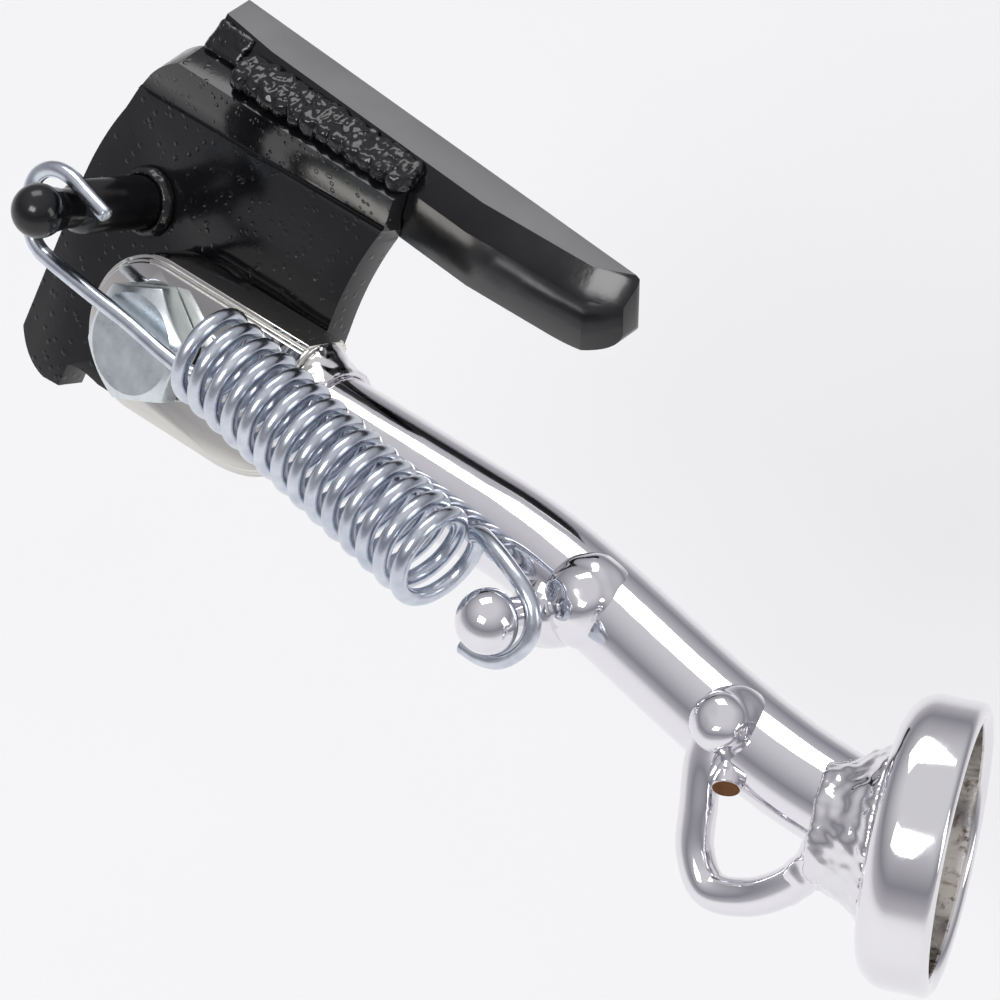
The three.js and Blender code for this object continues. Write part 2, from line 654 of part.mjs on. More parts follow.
// ---------------------------------------------------------------- assembly
const bar = mountingBar();
const aboveWeldFace = new THREE.BoxGeometry(2 * BAR_LENGTH, 60, 20);
aboveWeldFace.translate(0, 0, 10 - GAP);
const barKeepOut = grown(bar).add(solid(aboveWeldFace));
const barSeenFromPivot = barKeepOut.transform(rootToPivot.elements);
const plate = pivotPlate(barSeenFromPivot);
const plateKeepOut = grown(plate);
const plateSeenFromRoot = plateKeepOut.transform(pivotFrame.matrixWorld.elements);

addNode(product, 'mounting_bar', shapeOf(bar), blackPaint);
addNode(pivotFrame, 'pivot_plate', shapeOf(plate), blackPaint);
addNode(pivotFrame, 'bar_weld_front', barWeldFront(barSeenFromPivot, plateKeepOut), blackPaint);
addNode(product, 'bar_weld_end', barWeldEnd(barKeepOut, plateSeenFromRoot), blackPaint);
addNode(pivotFrame, 'bracket_spring_stud', upperStud(), blackPaint);
addNode(pivotFrame, 'bracket_stud_weld', upperStudWeld(), blackPaint);
addNode(pivotFrame, 'pivot_bolt', pivotBolt(), zinc);
addNode(pivotFrame, 'pivot_bushing', ring(BUSHING_INNER, BUSHING_OUTER, GAP, HEAD_THICKNESS - GAP, 36), bronze);
addNode(pivotFrame, 'thrust_washer', ring(6.6, 12.5, HEAD_THICKNESS + 0.2, PLATE_FRONT - 0.2), steel);
addNode(pivotFrame, 'lock_washer', ring(6.6, 10.8, PLATE_BACK + GAP, PLATE_BACK + 2.1), zinc);
addNode(pivotFrame, 'lock_nut', lockNut(), zinc);
addNode(pivotFrame, 'leg_head', legHead(), chrome);
addNode(pivotFrame, 'head_weld', headWeld(), chrome);
addNode(pivotFrame, 'leg_tube', legTube(), chrome);
addNode(pivotFrame, 'leg_spring_stud', lowerStud(), chrome);
addNode(pivotFrame, 'leg_stud_weld', lowerStudWeld(), chrome);
addNode(pivotFrame, 'kick_loop', kickLoop(), chrome);
addNode(pivotFrame, 'loop_weld_upper', loopWeldUpper(), chrome);
addNode(pivotFrame, 'loop_weld_lower', loopWeldLower(), chrome);
addNode(pivotFrame, 'foot_weld', footWeld(), chrome);
addNode(pivotFrame, 'foot_cup', footCup(), chrome);
addNode(pivotFrame, 'spring_upper_hook', upperHook(), zinc);
addNode(pivotFrame, 'spring_coil', sweep(new CoilCurve(), WIRE_RADIUS, 8, 200), zinc);
addNode(pivotFrame, 'spring_lower_hook', lowerHook(), zinc);

export default product;
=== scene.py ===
"""Looks of a folded, weld-on motorcycle side stand, built around its CAD frame."""
import json
import math

import bmesh
import bpy
from mathutils import Matrix, Vector, noise


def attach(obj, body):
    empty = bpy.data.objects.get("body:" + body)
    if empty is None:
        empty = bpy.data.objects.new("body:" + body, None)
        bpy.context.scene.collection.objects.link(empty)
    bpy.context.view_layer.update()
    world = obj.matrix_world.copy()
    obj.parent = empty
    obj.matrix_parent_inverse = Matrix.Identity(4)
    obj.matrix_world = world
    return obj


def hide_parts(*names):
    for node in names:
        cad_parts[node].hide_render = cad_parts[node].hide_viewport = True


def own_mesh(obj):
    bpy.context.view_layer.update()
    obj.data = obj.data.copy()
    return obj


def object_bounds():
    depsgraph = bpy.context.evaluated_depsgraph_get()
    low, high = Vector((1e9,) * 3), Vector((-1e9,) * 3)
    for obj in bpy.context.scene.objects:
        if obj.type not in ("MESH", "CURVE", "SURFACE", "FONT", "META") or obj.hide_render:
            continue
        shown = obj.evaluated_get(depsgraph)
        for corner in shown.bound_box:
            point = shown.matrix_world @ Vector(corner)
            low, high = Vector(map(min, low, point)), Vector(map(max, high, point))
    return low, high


MM = 0.001
END_STEPS = 4  # rings in a rounded bar end
SOFT_EDGE = math.radians(50)  # edges of a swept bar flatter than this are shaded smooth
MERGE = 2e-6  # points of a CAD node closer than this are one point
FLAT_ANGLE = math.radians(1.0)  # CAD faces this close to flat become one face
BEVEL_ANGLE = math.radians(32)  # edges sharper than this get a bevel
BEVEL_STEPS = 3
BEVEL_SHADE = math.radians(28)
LUMP_SHADE = math.radians(80)
FINE_SHARE = 0.45  # fine lumps against coarse ones, in height and in frequency
FINE_FREQUENCY = 2.7
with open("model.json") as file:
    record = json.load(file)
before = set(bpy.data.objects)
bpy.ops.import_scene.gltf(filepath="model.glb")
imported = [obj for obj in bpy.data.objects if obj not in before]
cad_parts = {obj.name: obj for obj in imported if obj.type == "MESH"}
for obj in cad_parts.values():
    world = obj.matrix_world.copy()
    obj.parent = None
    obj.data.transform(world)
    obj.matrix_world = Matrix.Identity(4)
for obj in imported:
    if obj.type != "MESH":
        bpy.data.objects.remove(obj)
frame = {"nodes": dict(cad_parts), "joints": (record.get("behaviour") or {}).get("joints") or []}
cad_bounds = [list(corner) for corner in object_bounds()]
joints = {joint["name"]: joint for joint in frame["joints"]}

# ------------------------------------------------------------ pivot frame
# The bolt axis is this frame's Y and the folded leg lies along its X. Millimetres.
PIVOT_ROLL = math.radians(-30)
PIVOT_PITCH = math.radians(-5)
HINGE_DEPTH = 5.8  # the hinge point's distance behind the leg head's outboard face
TURN = Matrix.Rotation(PIVOT_ROLL, 3, "X") @ Matrix.Rotation(PIVOT_PITCH, 3, "Y")
ORIGIN = Vector(joints["leg_hinge"]["pos_m"]) - TURN @ Vector((0, HINGE_DEPTH, 0)) * MM

# Leg
TUBE_RADIUS = 7.94
TUBE_Y = 6.05
TUBE_Z = 2.5
TUBE_START = 30.3
TUBE_END = 163
BEND_START = 72
BEND_END = 147
BEND_OUT = 4.0
BEND_DOWN = 7.4

# Spring
WIRE_RADIUS = 1.4
COIL_RADIUS = 7.3
COIL_TURNS = 14.22
COIL_FIRST_ANGLE = math.radians(218)
COIL_START = Vector((19.3, -11.5, 9.1))
COIL_END = Vector((77.1, -11.5, -0.8))
UPPER_HOOK_Y = -8.2
LOWER_HOOK_Y = -11.8

# Kick loop
LOOP_RADIUS = 3.0
LOOP_PLANE_Y = -6.0

# Foot
FOOT_RADIUS = 22.7
FOOT_HEIGHT = 12
FOOT_WALL = 3
FOOT_FLOOR = 4
FOOT_EDGE = 5
FOOT_CORNER = 1.4  # inside, between the wall and the floor
EDGE_STEPS = 12
CORNER_STEPS = 6
FOOT_AXIS = Vector((0.892, 0.413, 0.182)).normalized()
FOOT_BACK = Vector((160.1, 1.0, -5.2))

# Studs
UPPER_STUD = Vector((-19.6, 0, 15.7))
LOWER_STUD = Vector((90.6, 0, -3.1))
PLATE_FRONT = 12.8
UPPER_BALL_Y = -14.2
UPPER_BALL_RADIUS = 4.6
UPPER_GROOVE_RADIUS = 3.4
LOWER_BALL_Y = -14.6
LOWER_BALL_RADIUS = 5.3
LOWER_SHANK_RADIUS = 3.1


def place(point):
    """A point of the pivot frame in millimetres, in the row frame in metres."""
    return ORIGIN + TURN @ (Vector(point) * MM)


# ------------------------------------------------------------ mesh helpers
def new_object(name, vertices, faces):
    """A mesh piece in the scene, from points in the row frame."""
    mesh = bpy.data.meshes.new(name)
    mesh.from_pydata([tuple(v) for v in vertices], [], faces)
    mesh.validate()
    obj = bpy.data.objects.new(name, mesh)
    bpy.context.scene.collection.objects.link(obj)
    return obj


def smooth(obj, angle=math.radians(35)):
    """Smooth shading, with edges sharper than the angle kept crisp."""
    bm = bmesh.new()
    bm.from_mesh(obj.data)
    bmesh.ops.recalc_face_normals(bm, faces=bm.faces)
    for face in bm.faces:
        face.smooth = True
    for edge in bm.edges:
        edge.smooth = len(edge.link_faces) == 2 and edge.calc_face_angle(0) < angle
    bm.to_mesh(obj.data)
    bm.free()


def spline(points, steps):
    """A centripetal Catmull-Rom curve through the points."""
    path = [Vector(p) for p in points]
    path = [2 * path[0] - path[1]] + path + [2 * path[-1] - path[-2]]
    result = []
    for i in range(len(path) - 3):
        p = path[i:i + 4]
        t = [0.0]
        for a, b in zip(p, p[1:]):
            t.append(t[-1] + max((b - a).length ** 0.5, 1e-5))
        for k in range(steps):
            u = t[1] + (t[2] - t[1]) * k / steps
            row = p
            for level in (1, 2):
                row = [row[j].lerp(row[j + 1], (u - t[j]) / (t[j + level] - t[j]))
                       for j in range(len(row) - 1)]
            result.append(row[0].lerp(row[1], (u - t[1]) / (t[2] - t[1])))
    result.append(path[-2])
    return result


def sweep(name, centers, radius, sides=28, end_round=0.0):
    """A round bar along centre points in the pivot frame, of one radius or one per point.

    end_round rounds the end edges of a bar of one radius.
    """
    centers = [Vector(c) for c in centers]
    radii = list(radius) if isinstance(radius, (list, tuple)) else [radius] * len(centers)
    if end_round:
        first = (centers[0] - centers[1]).normalized()
        last = (centers[-1] - centers[-2]).normalized()
        head = []
        tail = []
        for k in range(END_STEPS):
            a = math.pi / 2 * (k + 1) / END_STEPS
            head.append((centers[0] + first * end_round * math.sin(a),
                         radius - end_round * (1 - math.cos(a))))
            tail.append((centers[-1] + last * end_round * math.sin(a),
                         radius - end_round * (1 - math.cos(a))))
        centers = [c for c, _ in reversed(head)] + centers + [c for c, _ in tail]
        radii = [r for _, r in reversed(head)] + radii + [r for _, r in tail]
    tangents = []
    for i in range(len(centers)):
        ahead = centers[min(i + 1, len(centers) - 1)]
        behind = centers[max(i - 1, 0)]
        tangents.append((ahead - behind).normalized())
    normal = tangents[0].orthogonal().normalized()
    vertices = []
    for center, tangent, r in zip(centers, tangents, radii):
        normal = (normal - tangent * normal.dot(tangent)).normalized()
        side = tangent.cross(normal)
        for k in range(sides):
            a = 2 * math.pi * k / sides
            vertices.append(place(center + (normal * math.cos(a) + side * math.sin(a)) * r))
    faces = []
    for i in range(len(centers) - 1):
        for k in range(sides):
            n = (k + 1) % sides
            faces.append((i * sides + k, i * sides + n, (i + 1) * sides + n, (i + 1) * sides + k))
    faces.append(tuple(reversed(range(sides))))
    faces.append(tuple(range((len(centers) - 1) * sides, len(centers) * sides)))
    obj = new_object(name, vertices, faces)
    smooth(obj, SOFT_EDGE)
    return obj


def turned(name, profile, origin, axis, segments=96):
    """A solid of revolution from [radius, height] pairs along an axis of the pivot frame."""
    axis = Vector(axis).normalized()
    side = axis.orthogonal().normalized()
    other = axis.cross(side)
    vertices = []
    for radius, height in profile:
        for k in range(segments):
            a = 2 * math.pi * k / segments
            around = side * math.cos(a) + other * math.sin(a)
            vertices.append(place(Vector(origin) + axis * height + around * radius))
    faces = []
    for i in range(len(profile) - 1):
        for k in range(segments):
            n = (k + 1) % segments
            faces.append((i * segments + k, i * segments + n,
                          (i + 1) * segments + n, (i + 1) * segments + k))
    obj = new_object(name, vertices, faces)
    bm = bmesh.new()
    bm.from_mesh(obj.data)
    bmesh.ops.remove_doubles(bm, verts=bm.verts, dist=1e-7)
    bm.to_mesh(obj.data)
    bm.free()
    smooth(obj)
    return obj


def bake(obj):
    """Replaces the object's mesh by the result of its modifiers."""
    bpy.context.view_layer.update()
    graph = bpy.context.evaluated_depsgraph_get()
    mesh = bpy.data.meshes.new_from_object(obj.evaluated_get(graph))
    obj.modifiers.clear()
    obj.data = mesh
    return obj


def node_copy(node, name):
    """A piece with a copy of a CAD node's mesh; the node itself is left alone."""
    mesh = frame["nodes"][node].data.copy()
    obj = bpy.data.objects.new(name, mesh)
    bpy.context.scene.collection.objects.link(obj)
    mesh.materials.clear()
    bm = bmesh.new()
    bm.from_mesh(mesh)
    bmesh.ops.remove_doubles(bm, verts=bm.verts, dist=MERGE)
    bm.to_mesh(mesh)
    bm.free()
    return obj


def crisp(node, name, width):
    """A machined copy of a CAD node, its edges broken by a small bevel."""
    obj = node_copy(node, name)
    bm = bmesh.new()
    bm.from_mesh(obj.data)
    bmesh.ops.dissolve_limit(bm, angle_limit=FLAT_ANGLE, verts=bm.verts, edges=bm.edges)
    bm.to_mesh(obj.data)
    bm.free()
    bevel = obj.modifiers.new("edges", "BEVEL")
    bevel.width = width * MM
    bevel.segments = BEVEL_STEPS
    bevel.limit_method = "ANGLE"
    bevel.angle_limit = BEVEL_ANGLE
    bake(obj)
    smooth(obj, BEVEL_SHADE)
    return obj


def lumpy(node, name, voxel, grow, swell, size, seed):
    """A weld bead: a remeshed copy of a CAD node, grown and swollen unevenly."""
    obj = node_copy(node, name)
    remesh = obj.modifiers.new("remesh", "REMESH")
    remesh.mode = "VOXEL"
    remesh.voxel_size = voxel * MM
    relax = obj.modifiers.new("relax", "SMOOTH")
    relax.factor = 0.6
    relax.iterations = 4
    bake(obj)
    mesh = obj.data
    offset = Vector((seed * 3.1, seed * 1.7, seed * 2.3))
    moved = []
    for vertex in mesh.vertices:
        sample = vertex.co / (size * MM) + offset
        coarse = noise.noise(sample)
        fine = noise.noise(sample * FINE_FREQUENCY)
        push = grow + swell * (coarse + FINE_SHARE * fine)
        moved.append(vertex.co + vertex.normal * push * MM)
    for vertex, co in zip(mesh.vertices, moved):
        vertex.co = co
    smooth(obj, LUMP_SHADE)
    return obj


# ------------------------------------------------------------ materials
MIX_COLOUR_A = 6  # sockets of the Mix node in its colour mode
MIX_COLOUR_B = 7
MIX_COLOUR_RESULT = 2


def material(name, base, metallic, roughness, **sockets):
    mat = bpy.data.materials.new(name)
    mat.use_nodes = True
    shader = mat.node_tree.nodes["Principled BSDF"]
    shader.inputs["Base Color"].default_value = (*base, 1)
    shader.inputs["Metallic"].default_value = metallic
    shader.inputs["Roughness"].default_value = roughness
    for socket, value in sockets.items():
        shader.inputs[socket.replace("_", " ")].default_value = value
    return mat


def texture(mat, kind, scale, **settings):
    """A procedural texture in object coordinates; scale is in features per metre."""
    nodes = mat.node_tree.nodes
    links = mat.node_tree.links
    coordinates = nodes.get("Texture Coordinate") or nodes.new("ShaderNodeTexCoord")
    tex = nodes.new(kind)
    tex.inputs["Scale"].default_value = scale
    for key, value in settings.items():
        tex.inputs[key].default_value = value
    links.new(coordinates.outputs["Object"], tex.inputs["Vector"])
    return tex


def spread(mat, source, low, high, out_low, out_high):
    """Maps a texture's value from low..high to out_low..out_high."""
    node = mat.node_tree.nodes.new("ShaderNodeMapRange")
    for index, value in enumerate((low, high, out_low, out_high), start=1):
        node.inputs[index].default_value = value
    mat.node_tree.links.new(source, node.inputs[0])
    return node.outputs[0]


def shade(mat, factor, first, second):
    """Base colour between two colours, by a factor."""
    node = mat.node_tree.nodes.new("ShaderNodeMix")
    node.data_type = "RGBA"
    mat.node_tree.links.new(factor, node.inputs[0])
    node.inputs[MIX_COLOUR_A].default_value = (*first, 1)
    node.inputs[MIX_COLOUR_B].default_value = (*second, 1)
    drive(mat, node.outputs[MIX_COLOUR_RESULT], "Base Color")


def drive(mat, value, socket):
    """Links a value to a socket of the material's shader."""
    mat.node_tree.links.new(value, mat.node_tree.nodes["Principled BSDF"].inputs[socket])


def bump(mat, heights):
    """Stacks (height output, distance in mm, strength) bumps on the surface normal."""
    normal = None
    for height, distance, strength in heights:
        node = mat.node_tree.nodes.new("ShaderNodeBump")
        node.inputs["Distance"].default_value = distance * MM
        node.inputs["Strength"].default_value = strength
        mat.node_tree.links.new(height, node.inputs["Height"])
        if normal:
            mat.node_tree.links.new(normal, node.inputs["Normal"])
        normal = node.outputs["Normal"]
    drive(mat, normal, "Normal")


def black_paint(name, spatter, dark=(0.004, 0.004, 0.005), light=(0.009, 0.009, 0.010), satin=0.0):
    """Black paint: orange peel, dust, and weld spatter under it where asked. satin dulls it."""
    mat = material(name, dark, 0.0, 0.16, Specular_IOR_Level=0.5)
    cloud = texture(mat, "ShaderNodeTexNoise", 60, Detail=4.0)
    peel = texture(mat, "ShaderNodeTexNoise", 900, Detail=2.0)
    drive(mat, spread(mat, cloud.outputs["Fac"], 0.3, 0.7, 0.09 + satin, 0.22 + satin), "Roughness")
    shade(mat, spread(mat, cloud.outputs["Fac"], 0.45, 0.75, 0, 1), dark, light)
    heights = [(peel.outputs["Fac"], 0.05, 0.18), (cloud.outputs["Fac"], 0.5, 0.12)]
    if spatter:
        dots = texture(mat, "ShaderNodeTexVoronoi", 520)
        heights.append((spread(mat, dots.outputs["Distance"], 0.16, 0.28, 1, 0), 0.25, spatter))
    bump(mat, heights)
    return mat


def chrome(name, tint, wobble, dirt=0.0):
    """Bright plate over ground steel: faint waves, hairline wear and, where asked, grime."""
    mat = material(name, tint, 1.0, 0.06)
    waves = texture(mat, "ShaderNodeTexNoise", 70, Detail=1.0)
    haze = texture(mat, "ShaderNodeTexNoise", 260, Detail=5.0)
    fine = texture(mat, "ShaderNodeTexNoise", 1500, Detail=2.0)
    drive(mat, spread(mat, haze.outputs["Fac"], 0.35, 0.75, 0.035, 0.12), "Roughness")
    if dirt:
        stain = texture(mat, "ShaderNodeTexNoise", 330, Detail=6.0, Roughness=0.7)
        shade(mat, spread(mat, stain.outputs["Fac"], 0.66 - dirt, 0.78 - dirt, 0, 1), tint,
              (0.12, 0.075, 0.05))
    bump(mat, [(waves.outputs["Fac"], wobble, 0.25), (fine.outputs["Fac"], 0.02, 0.12)])
    return mat


def zinc(name, low, high, roughness, grain):
    """Bluish zinc plate, mottled and softly satin."""
    mat = material(name, high, 1.0, roughness)
    mottle = texture(mat, "ShaderNodeTexNoise", 300, Detail=5.0, Roughness=0.65)
    fine = texture(mat, "ShaderNodeTexNoise", 1800, Detail=3.0)
    shade(mat, spread(mat, mottle.outputs["Fac"], 0.35, 0.65, 0, 1), low, high)
    drive(mat, spread(mat, mottle.outputs["Fac"], 0.3, 0.7, roughness * 0.8, roughness * 1.3),
          "Roughness")
    bump(mat, [(fine.outputs["Fac"], grain, 0.3)])
    return mat


PAINT = black_paint("paint", 0.0)
PAINT_SPATTER = black_paint("paint_spatter", 0.3)
PAINT_WELD = black_paint("paint_weld", 0.8)
# Painted sheen: the black paint lightened to grey, standing in for the light that the bar's upward
# faces catch.
PAINT_SHEEN_TOP = black_paint("paint_painted_sheen_top", 0.0, (0.155, 0.155, 0.158), (0.20, 0.20, 0.204), 0.34)
CHROME = chrome("chrome", (0.80, 0.79, 0.82), 0.35)
CHROME_WELD = chrome("chrome_weld", (0.78, 0.77, 0.79), 0.9)
CHROME_FOOT = chrome("chrome_foot", (0.81, 0.80, 0.82), 0.3)
CHROME_FLAT = chrome("chrome_flat", (0.77, 0.76, 0.72), 0.25)
CUP_INSIDE = chrome("cup_inside", (0.62, 0.60, 0.57), 1.6, 0.12)
SPRING_ZINC = zinc("spring_zinc", (0.52, 0.56, 0.64), (0.68, 0.72, 0.78), 0.2, 0.03)
BOLT_ZINC = zinc("bolt_zinc", (0.60, 0.66, 0.69), (0.74, 0.79, 0.80), 0.3, 0.05)
STEEL = zinc("washer_steel", (0.36, 0.37, 0.38), (0.5, 0.51, 0.52), 0.34, 0.05)
BRONZE = zinc("bushing_bronze", (0.42, 0.25, 0.11), (0.56, 0.36, 0.18), 0.42, 0.06)
RUST = zinc("rust_end", (0.16, 0.07, 0.03), (0.30, 0.15, 0.07), 0.7, 0.2)


def finish(obj, mat, body, node):
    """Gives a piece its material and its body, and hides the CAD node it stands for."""
    obj.data.materials.clear()
    obj.data.materials.append(mat)
    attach(obj, body)
    if node:
        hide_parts(node)
    return obj


# ------------------------------------------------------------ bracket
bar = finish(crisp("mounting_bar", "bar", 0.45), PAINT, "bracket", "mounting_bar")
# Faces that point up get the grey copy of the paint, a painted sheen.
bar.data.materials.append(PAINT_SHEEN_TOP)
for face in bar.data.polygons:
    face.material_index = int(face.normal.z > 0.9)
plate = finish(crisp("pivot_plate", "plate", 0.5), PAINT_SPATTER, "bracket", "pivot_plate")
finish(lumpy("bar_weld_front", "weld_front", 0.3, 0.45, 0.5, 2.2, 1), PAINT_WELD, "bracket",
       "bar_weld_front")
finish(lumpy("bar_weld_end", "weld_end", 0.5, 0.5, 0.25, 3.0, 2), PAINT_WELD, "bracket",
       "bar_weld_end")
finish(lumpy("bracket_stud_weld", "post_weld", 0.25, 0.2, 0.15, 1.8, 3), PAINT_WELD, "bracket",
       "bracket_stud_weld")


def ball_profile(radius, ball_y, share, steps=20):
    """Half a ball, from its outboard pole round to a share of half a turn."""
    profile = [(0.0, ball_y - radius)]
    for i in range(1, steps + 1):
        a = i / steps * math.pi * share
        profile.append((radius * math.sin(a), ball_y - radius * math.cos(a)))
    return profile


post_profile = ball_profile(UPPER_BALL_RADIUS, UPPER_BALL_Y, 0.68)
post_profile += [
    (UPPER_GROOVE_RADIUS + 0.3, UPPER_BALL_Y + 4.0),
    (UPPER_GROOVE_RADIUS, UPPER_BALL_Y + 4.4),
    (UPPER_GROOVE_RADIUS, UPPER_HOOK_Y + 2.0),
    (UPPER_GROOVE_RADIUS + 0.4, UPPER_HOOK_Y + 2.5),
    (UPPER_BALL_RADIUS - 0.3, UPPER_HOOK_Y + 3.4),
    (UPPER_BALL_RADIUS, UPPER_HOOK_Y + 3.9),
    (UPPER_BALL_RADIUS, PLATE_FRONT - 0.1),
    (0.0, PLATE_FRONT - 0.1),
]
finish(turned("post", post_profile, UPPER_STUD, (0, 1, 0), 64), PAINT, "bracket",
       "bracket_spring_stud")

finish(crisp("pivot_bolt", "bolt", 0.3), BOLT_ZINC, "bracket", "pivot_bolt")
finish(crisp("lock_nut", "nut", 0.3), BOLT_ZINC, "bracket", "lock_nut")
finish(crisp("lock_washer", "spring_washer", 0.25), BOLT_ZINC, "bracket", "lock_washer")
finish(crisp("thrust_washer", "flat_washer", 0.15), STEEL, "bracket", "thrust_washer")

# ------------------------------------------------------------ leg
def leg_point(x):
    """The centre of the round leg at x, eased through its bend."""
    t = min(max((x - BEND_START) / (BEND_END - BEND_START), 0), 1)
    share = t * t * (3 - 2 * t)
    return Vector((x, TUBE_Y - BEND_OUT * share, TUBE_Z - BEND_DOWN * share))


finish(crisp("leg_head", "head", 0.35), CHROME_FLAT, "leg", "leg_head")
finish(crisp("pivot_bushing", "bushing", 0.15), BRONZE, "leg", "pivot_bushing")
TUBE_STEPS = 120
leg_line = [leg_point(TUBE_START + (TUBE_END - TUBE_START) * i / TUBE_STEPS)
            for i in range(TUBE_STEPS + 1)]
finish(sweep("leg", leg_line, TUBE_RADIUS, 72), CHROME, "leg", "leg_tube")
finish(lumpy("head_weld", "head_fillet", 0.35, 0.35, 0.3, 4.0, 4), CHROME_WELD, "leg", "head_weld")
finish(lumpy("foot_weld", "neck", 0.4, 0.35, 0.6, 4.5, 5), CHROME_WELD, "leg", "foot_weld")


def dome(name, x, toward, profile):
    """A weld dome on the leg at x, its crown towards (y, z). Heights are above the leg's axis."""
    foot = leg_point(x)
    axis = Vector((x, *toward)) - foot
    line = spline([(radius, height, 0) for radius, height in profile], 6)
    outline = [(max(point.x, 0.0), point.y) for point in line]
    outline.append((0.0, profile[-1][1]))
    return turned(name, list(reversed(outline)), foot, axis, 72)


def ripple(obj, swell, size):
    """Uneven, hand-made surface: moves each point along its normal by smooth noise."""
    mesh = obj.data
    pushes = [noise.noise(vertex.co / (size * MM)) * swell * MM for vertex in mesh.vertices]
    moved = [vertex.co + vertex.normal * push for vertex, push in zip(mesh.vertices, pushes)]
    for vertex, co in zip(mesh.vertices, moved):
        vertex.co = co
    return obj


stud_dome = dome("stud_dome", 96.6, (-0.4, 1.9), [
    (0.0, 11.0), (2.0, 10.8), (3.6, 10.2), (4.8, 9.2), (5.6, 8.1), (6.6, 6.9), (7.6, 5.0), (7.8, 3.0)])
finish(ripple(stud_dome, 0.35, 4.0), CHROME, "leg", "leg_stud_weld")
stud_flare = turned("stud_flare", [
    (0.0, -6.2), (LOWER_SHANK_RADIUS, -6.2), (3.5, -5.0), (4.1, -3.8), (5.0, -2.6), (6.0, -1.2),
    (6.4, 1.0), (0.0, 1.0)], LOWER_STUD, (0, 1, 0), 64)
finish(ripple(stud_flare, 0.35, 3.0), CHROME, "leg", "leg_stud_weld")
loop_dome = dome("loop_dome", 130.5, (-5.2, -1.1), [
    (0.0, 12.6), (2.2, 12.3), (3.7, 11.4), (4.6, 10.1), (5.0, 8.8), (5.7, 7.4), (6.6, 5.4), (6.8, 3.6)])
finish(ripple(loop_dome, 0.3, 3.5), CHROME, "leg", "loop_weld_upper")

stud_profile = ball_profile(LOWER_BALL_RADIUS, LOWER_BALL_Y, 0.55)
stud_profile += [
    (LOWER_SHANK_RADIUS + 0.4, LOWER_BALL_Y + 1.7),
    (LOWER_SHANK_RADIUS, LOWER_BALL_Y + 2.2),
    (LOWER_SHANK_RADIUS, 0.0),
    (0.0, 0.0),
]
finish(turned("leg_stud", stud_profile, LOWER_STUD, (0, 1, 0), 64), CHROME, "leg",
       "leg_spring_stud")

LOOP_POINTS = [
    (130.7, -1.0), (130.2, -4.6), (130.3, -7.8), (132.0, -13.9), (134.4, -21.4), (138.8, -25.3),
    (145.5, -23.1), (151.3, -17.9), (154.8, -11.9), (157.0, -7.7),
]
loop_line = spline([(x, LOOP_PLANE_Y, z) for x, z in LOOP_POINTS], 14)
finish(sweep("loop", loop_line, LOOP_RADIUS, 40), CHROME, "leg", "kick_loop")
# The rod's cut-off end, left standing under the upper weld.
STUB_START = (132.5, -2.5, -6.0)
STUB_END = (135.6, -6.0, -9.2)
STUB_RADIUS = 2.4
stub_line = [STUB_START, Vector(STUB_START).lerp(Vector(STUB_END), 0.5), STUB_END]
stub = sweep("loop_stub", stub_line, STUB_RADIUS, 32, 0.4)
finish(stub, CHROME, "leg", None)
stub.data.materials.append(RUST)
stub_axis = (place(STUB_END) - place(STUB_START)).normalized()
for face in stub.data.polygons:
    face.material_index = int(face.normal.dot(stub_axis) > 0.9)
# The weld where the loop's lower end runs into the neck: the bar thickens towards its end.
TOE_POINTS = 30
TOE_SWELL = 2.3
toe_line = loop_line[-TOE_POINTS:]
toe_radii = [LOOP_RADIUS - 0.1 + TOE_SWELL * (i / (TOE_POINTS - 1)) ** 2 for i in range(TOE_POINTS)]
toe = ripple(sweep("loop_toe_weld", toe_line, toe_radii, 40), 0.5, 3.0)
finish(toe, CHROME, "leg", "loop_weld_lower")


def foot_profile():
    """The cup's section: outside face, rounded edge, rim, wall and floor."""
    r = FOOT_RADIUS
    e = FOOT_EDGE
    profile = [(0.0, 0.0), (r - e - 1.5, 0.0)]
    for i in range(1, EDGE_STEPS + 1):
        a = i / EDGE_STEPS * math.pi / 2
        profile.append((r - e + e * math.sin(a), e - e * math.cos(a)))
    lip = FOOT_WALL / 2
    for i in range(EDGE_STEPS + 1):
        a = i / EDGE_STEPS * math.pi
        profile.append((r - lip + lip * math.cos(a), FOOT_HEIGHT - lip + lip * math.sin(a)))
    corner = FOOT_CORNER
    for i in range(CORNER_STEPS + 1):
        a = i / CORNER_STEPS * math.pi / 2
        profile.append((r - FOOT_WALL - corner + corner * math.cos(a),
                        FOOT_FLOOR + corner - corner * math.sin(a)))
    profile.append((0.0, float(FOOT_FLOOR)))
    return profile


cup = finish(turned("cup", foot_profile(), FOOT_BACK, FOOT_AXIS, 128), CHROME_FOOT, "leg",
             "foot_cup")
cup.data.materials.append(CUP_INSIDE)
cup_back = place(FOOT_BACK)
cup_axis = TURN @ FOOT_AXIS
for face in cup.data.polygons:
    reach = face.center - cup_back
    height = reach.dot(cup_axis) / MM
    radius = (reach - cup_axis * height * MM).length / MM
    face.material_index = int(height > FOOT_FLOOR - 0.5 and radius < FOOT_RADIUS - FOOT_WALL + 0.1)

# ------------------------------------------------------------ spring
SPRING_AXIS = (COIL_END - COIL_START).normalized()
SPRING_SIDE = Vector((0, -1, 0))
SPRING_UP = SPRING_SIDE.cross(SPRING_AXIS).normalized()
COIL_STEPS_PER_TURN = 44


def coil_point(turn):
    """A point on the coil: turn counts whole turns from the upper end."""
    pitch = (COIL_END - COIL_START).length / COIL_TURNS
    a = COIL_FIRST_ANGLE - turn * 2 * math.pi
    across = SPRING_SIDE * math.cos(a) + SPRING_UP * math.sin(a)
    return COIL_START + SPRING_AXIS * turn * pitch + across * COIL_RADIUS


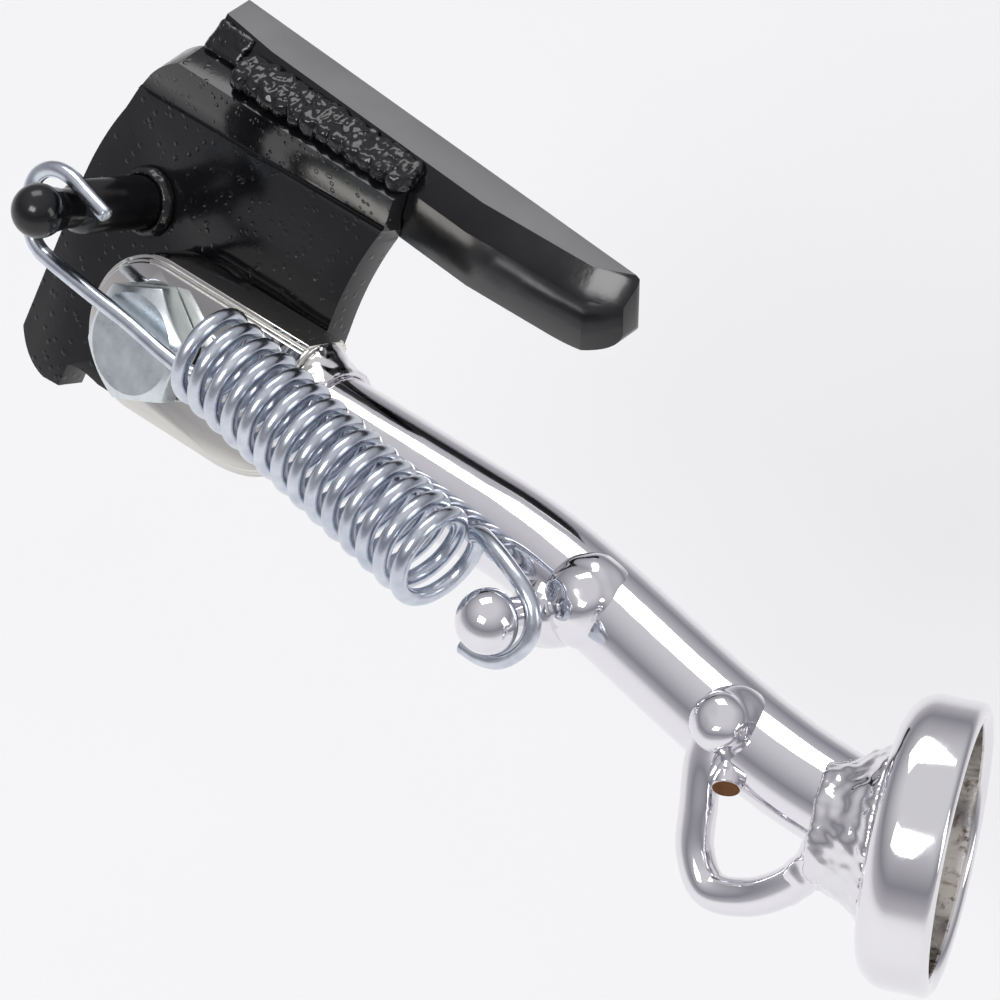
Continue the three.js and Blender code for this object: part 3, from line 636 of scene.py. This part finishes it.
coil_steps = round(COIL_TURNS * COIL_STEPS_PER_TURN)
coil_line = [coil_point(COIL_TURNS * i / coil_steps) for i in range(coil_steps + 1)]
coil = finish(sweep("coil", coil_line, WIRE_RADIUS, 20), SPRING_ZINC, "spring_upper",
              "spring_coil")
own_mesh(coil)

UPPER_HOOK_POINTS = [
    (9.8, 2.9), (0.7, 4.3), (-8.4, 5.2), (-15.4, 6.0), (-19.3, 6.5), (-21.5, 6.9), (-23.9, 8.2),
    (-26.5, 11.6), (-27.4, 15.0), (-27.0, 18.2), (-25.3, 20.2), (-23.0, 21.2), (-20.0, 21.3),
    (-15.9, 20.2), (-10.6, 18.8),
]
upper_line = spline(
    [coil_point(0), coil_point(-0.03), (17.2, -6.8, 2.7), (14.2, -7.7, 2.3)]
    + [(x, UPPER_HOOK_Y, z) for x, z in UPPER_HOOK_POINTS], 10)
finish(sweep("upper_hook", upper_line, WIRE_RADIUS, 24, 0.25), SPRING_ZINC, "spring_upper",
       "spring_upper_hook")

LOWER_HOOK_POINTS = [
    (93.4, 3.3), (95.5, 1.6), (96.7, -0.8), (96.8, -3.7), (95.3, -6.8), (92.8, -9.3),
    (89.5, -10.4), (85.8, -10.4),
]
lower_line = spline(
    [coil_point(COIL_TURNS), coil_point(COIL_TURNS + 0.03), (79.9, -8.0, 5.7),
     (84.0, -10.0, 5.9), (89.6, -11.4, 4.8)]
    + [(x, LOWER_HOOK_Y, z) for x, z in LOWER_HOOK_POINTS], 10)
finish(sweep("lower_hook", lower_line, WIRE_RADIUS, 24, 0.25), SPRING_ZINC, "spring_lower",
       "spring_lower_hook")

# ------------------------------------------------------------ stage, light and camera
FLOOR_Z = -0.30  # clear of the foot with the leg down
FLOOR_SIZE = 6.0
half = FLOOR_SIZE / 2
floor = new_object("floor", [(-half, -half, FLOOR_Z), (half, -half, FLOOR_Z), (half, half, FLOOR_Z),
                             (-half, half, FLOOR_Z)], [(0, 1, 2, 3)])
floor_paint = material("floor_paint", (0.96, 0.96, 0.955), 0.0, 0.9)
floor_grain = texture(floor_paint, "ShaderNodeTexNoise", 12, Detail=2.0)
shade(floor_paint, floor_grain.outputs["Fac"], (0.955, 0.955, 0.95), (0.975, 0.975, 0.97))
floor.data.materials.append(floor_paint)

TARGET = (Vector(cad_bounds[0]) + Vector(cad_bounds[1])) / 2


def softbox(name, offset, size, power):
    """A rectangular soft light at an offset from the object, facing it."""
    light = bpy.data.lights.new(name, "AREA")
    light.shape = "RECTANGLE"
    light.size, light.size_y = size
    light.energy = power
    lamp = bpy.data.objects.new(name, light)
    lamp.location = TARGET + Vector(offset)
    lamp.rotation_euler = (TARGET - lamp.location).to_track_quat("-Z", "Y").to_euler()
    bpy.context.scene.collection.objects.link(lamp)


softbox("key", (0.2, -1.1, 1.2), (0.7, 0.5), 9)
softbox("top", (-0.8, 0.5, 1.4), (0.9, 0.7), 7)
softbox("side", (1.4, 0.5, 0.5), (0.5, 0.9), 3)

world = bpy.data.worlds.new("studio")
world.use_nodes = True
bpy.context.scene.world = world
background = world.node_tree.nodes["Background"]
sky_coordinates = world.node_tree.nodes.new("ShaderNodeTexCoord")
split = world.node_tree.nodes.new("ShaderNodeSeparateXYZ")
sky = world.node_tree.nodes.new("ShaderNodeValToRGB")
world.node_tree.links.new(sky_coordinates.outputs["Generated"], split.inputs[0])
height_range = world.node_tree.nodes.new("ShaderNodeMapRange")
height_range.inputs[1].default_value = -1
world.node_tree.links.new(split.outputs["Z"], height_range.inputs[0])
world.node_tree.links.new(height_range.outputs[0], sky.inputs[0])
world.node_tree.links.new(sky.outputs[0], background.inputs[0])
sky.color_ramp.elements[0].position = 0.45
sky.color_ramp.elements[0].color = (0.66, 0.65, 0.68, 1)
sky.color_ramp.elements[1].position = 0.95
sky.color_ramp.elements[1].color = (0.90, 0.895, 0.92, 1)
low_sky = sky.color_ramp.elements.new(0.62)
low_sky.color = (0.34, 0.335, 0.37, 1)
background.inputs["Strength"].default_value = 0.8

CAMERA_FROM_PIVOT = Vector((499.1, -638.1, 298.3))
CAMERA_RIGHT = Vector((0.727, 0.618, 0.299))
CAMERA_UP = Vector((-0.452, 0.102, 0.886))
LENS = 186.7
lens = bpy.data.cameras.new("camera")
lens.lens = LENS
lens.sensor_width = 36
lens.clip_start = 0.01
lens.clip_end = 20
camera = bpy.data.objects.new("camera", lens)
right = (TURN @ CAMERA_RIGHT).normalized()
up = TURN @ CAMERA_UP
back = right.cross(up).normalized()
up = back.cross(right)
camera.matrix_world = Matrix.Translation(place(CAMERA_FROM_PIVOT)) @ Matrix(
    (right, up, back)).transposed().to_4x4()
bpy.context.scene.collection.objects.link(camera)
bpy.context.scene.camera = camera
bpy.context.scene.view_settings.view_transform = "Standard"
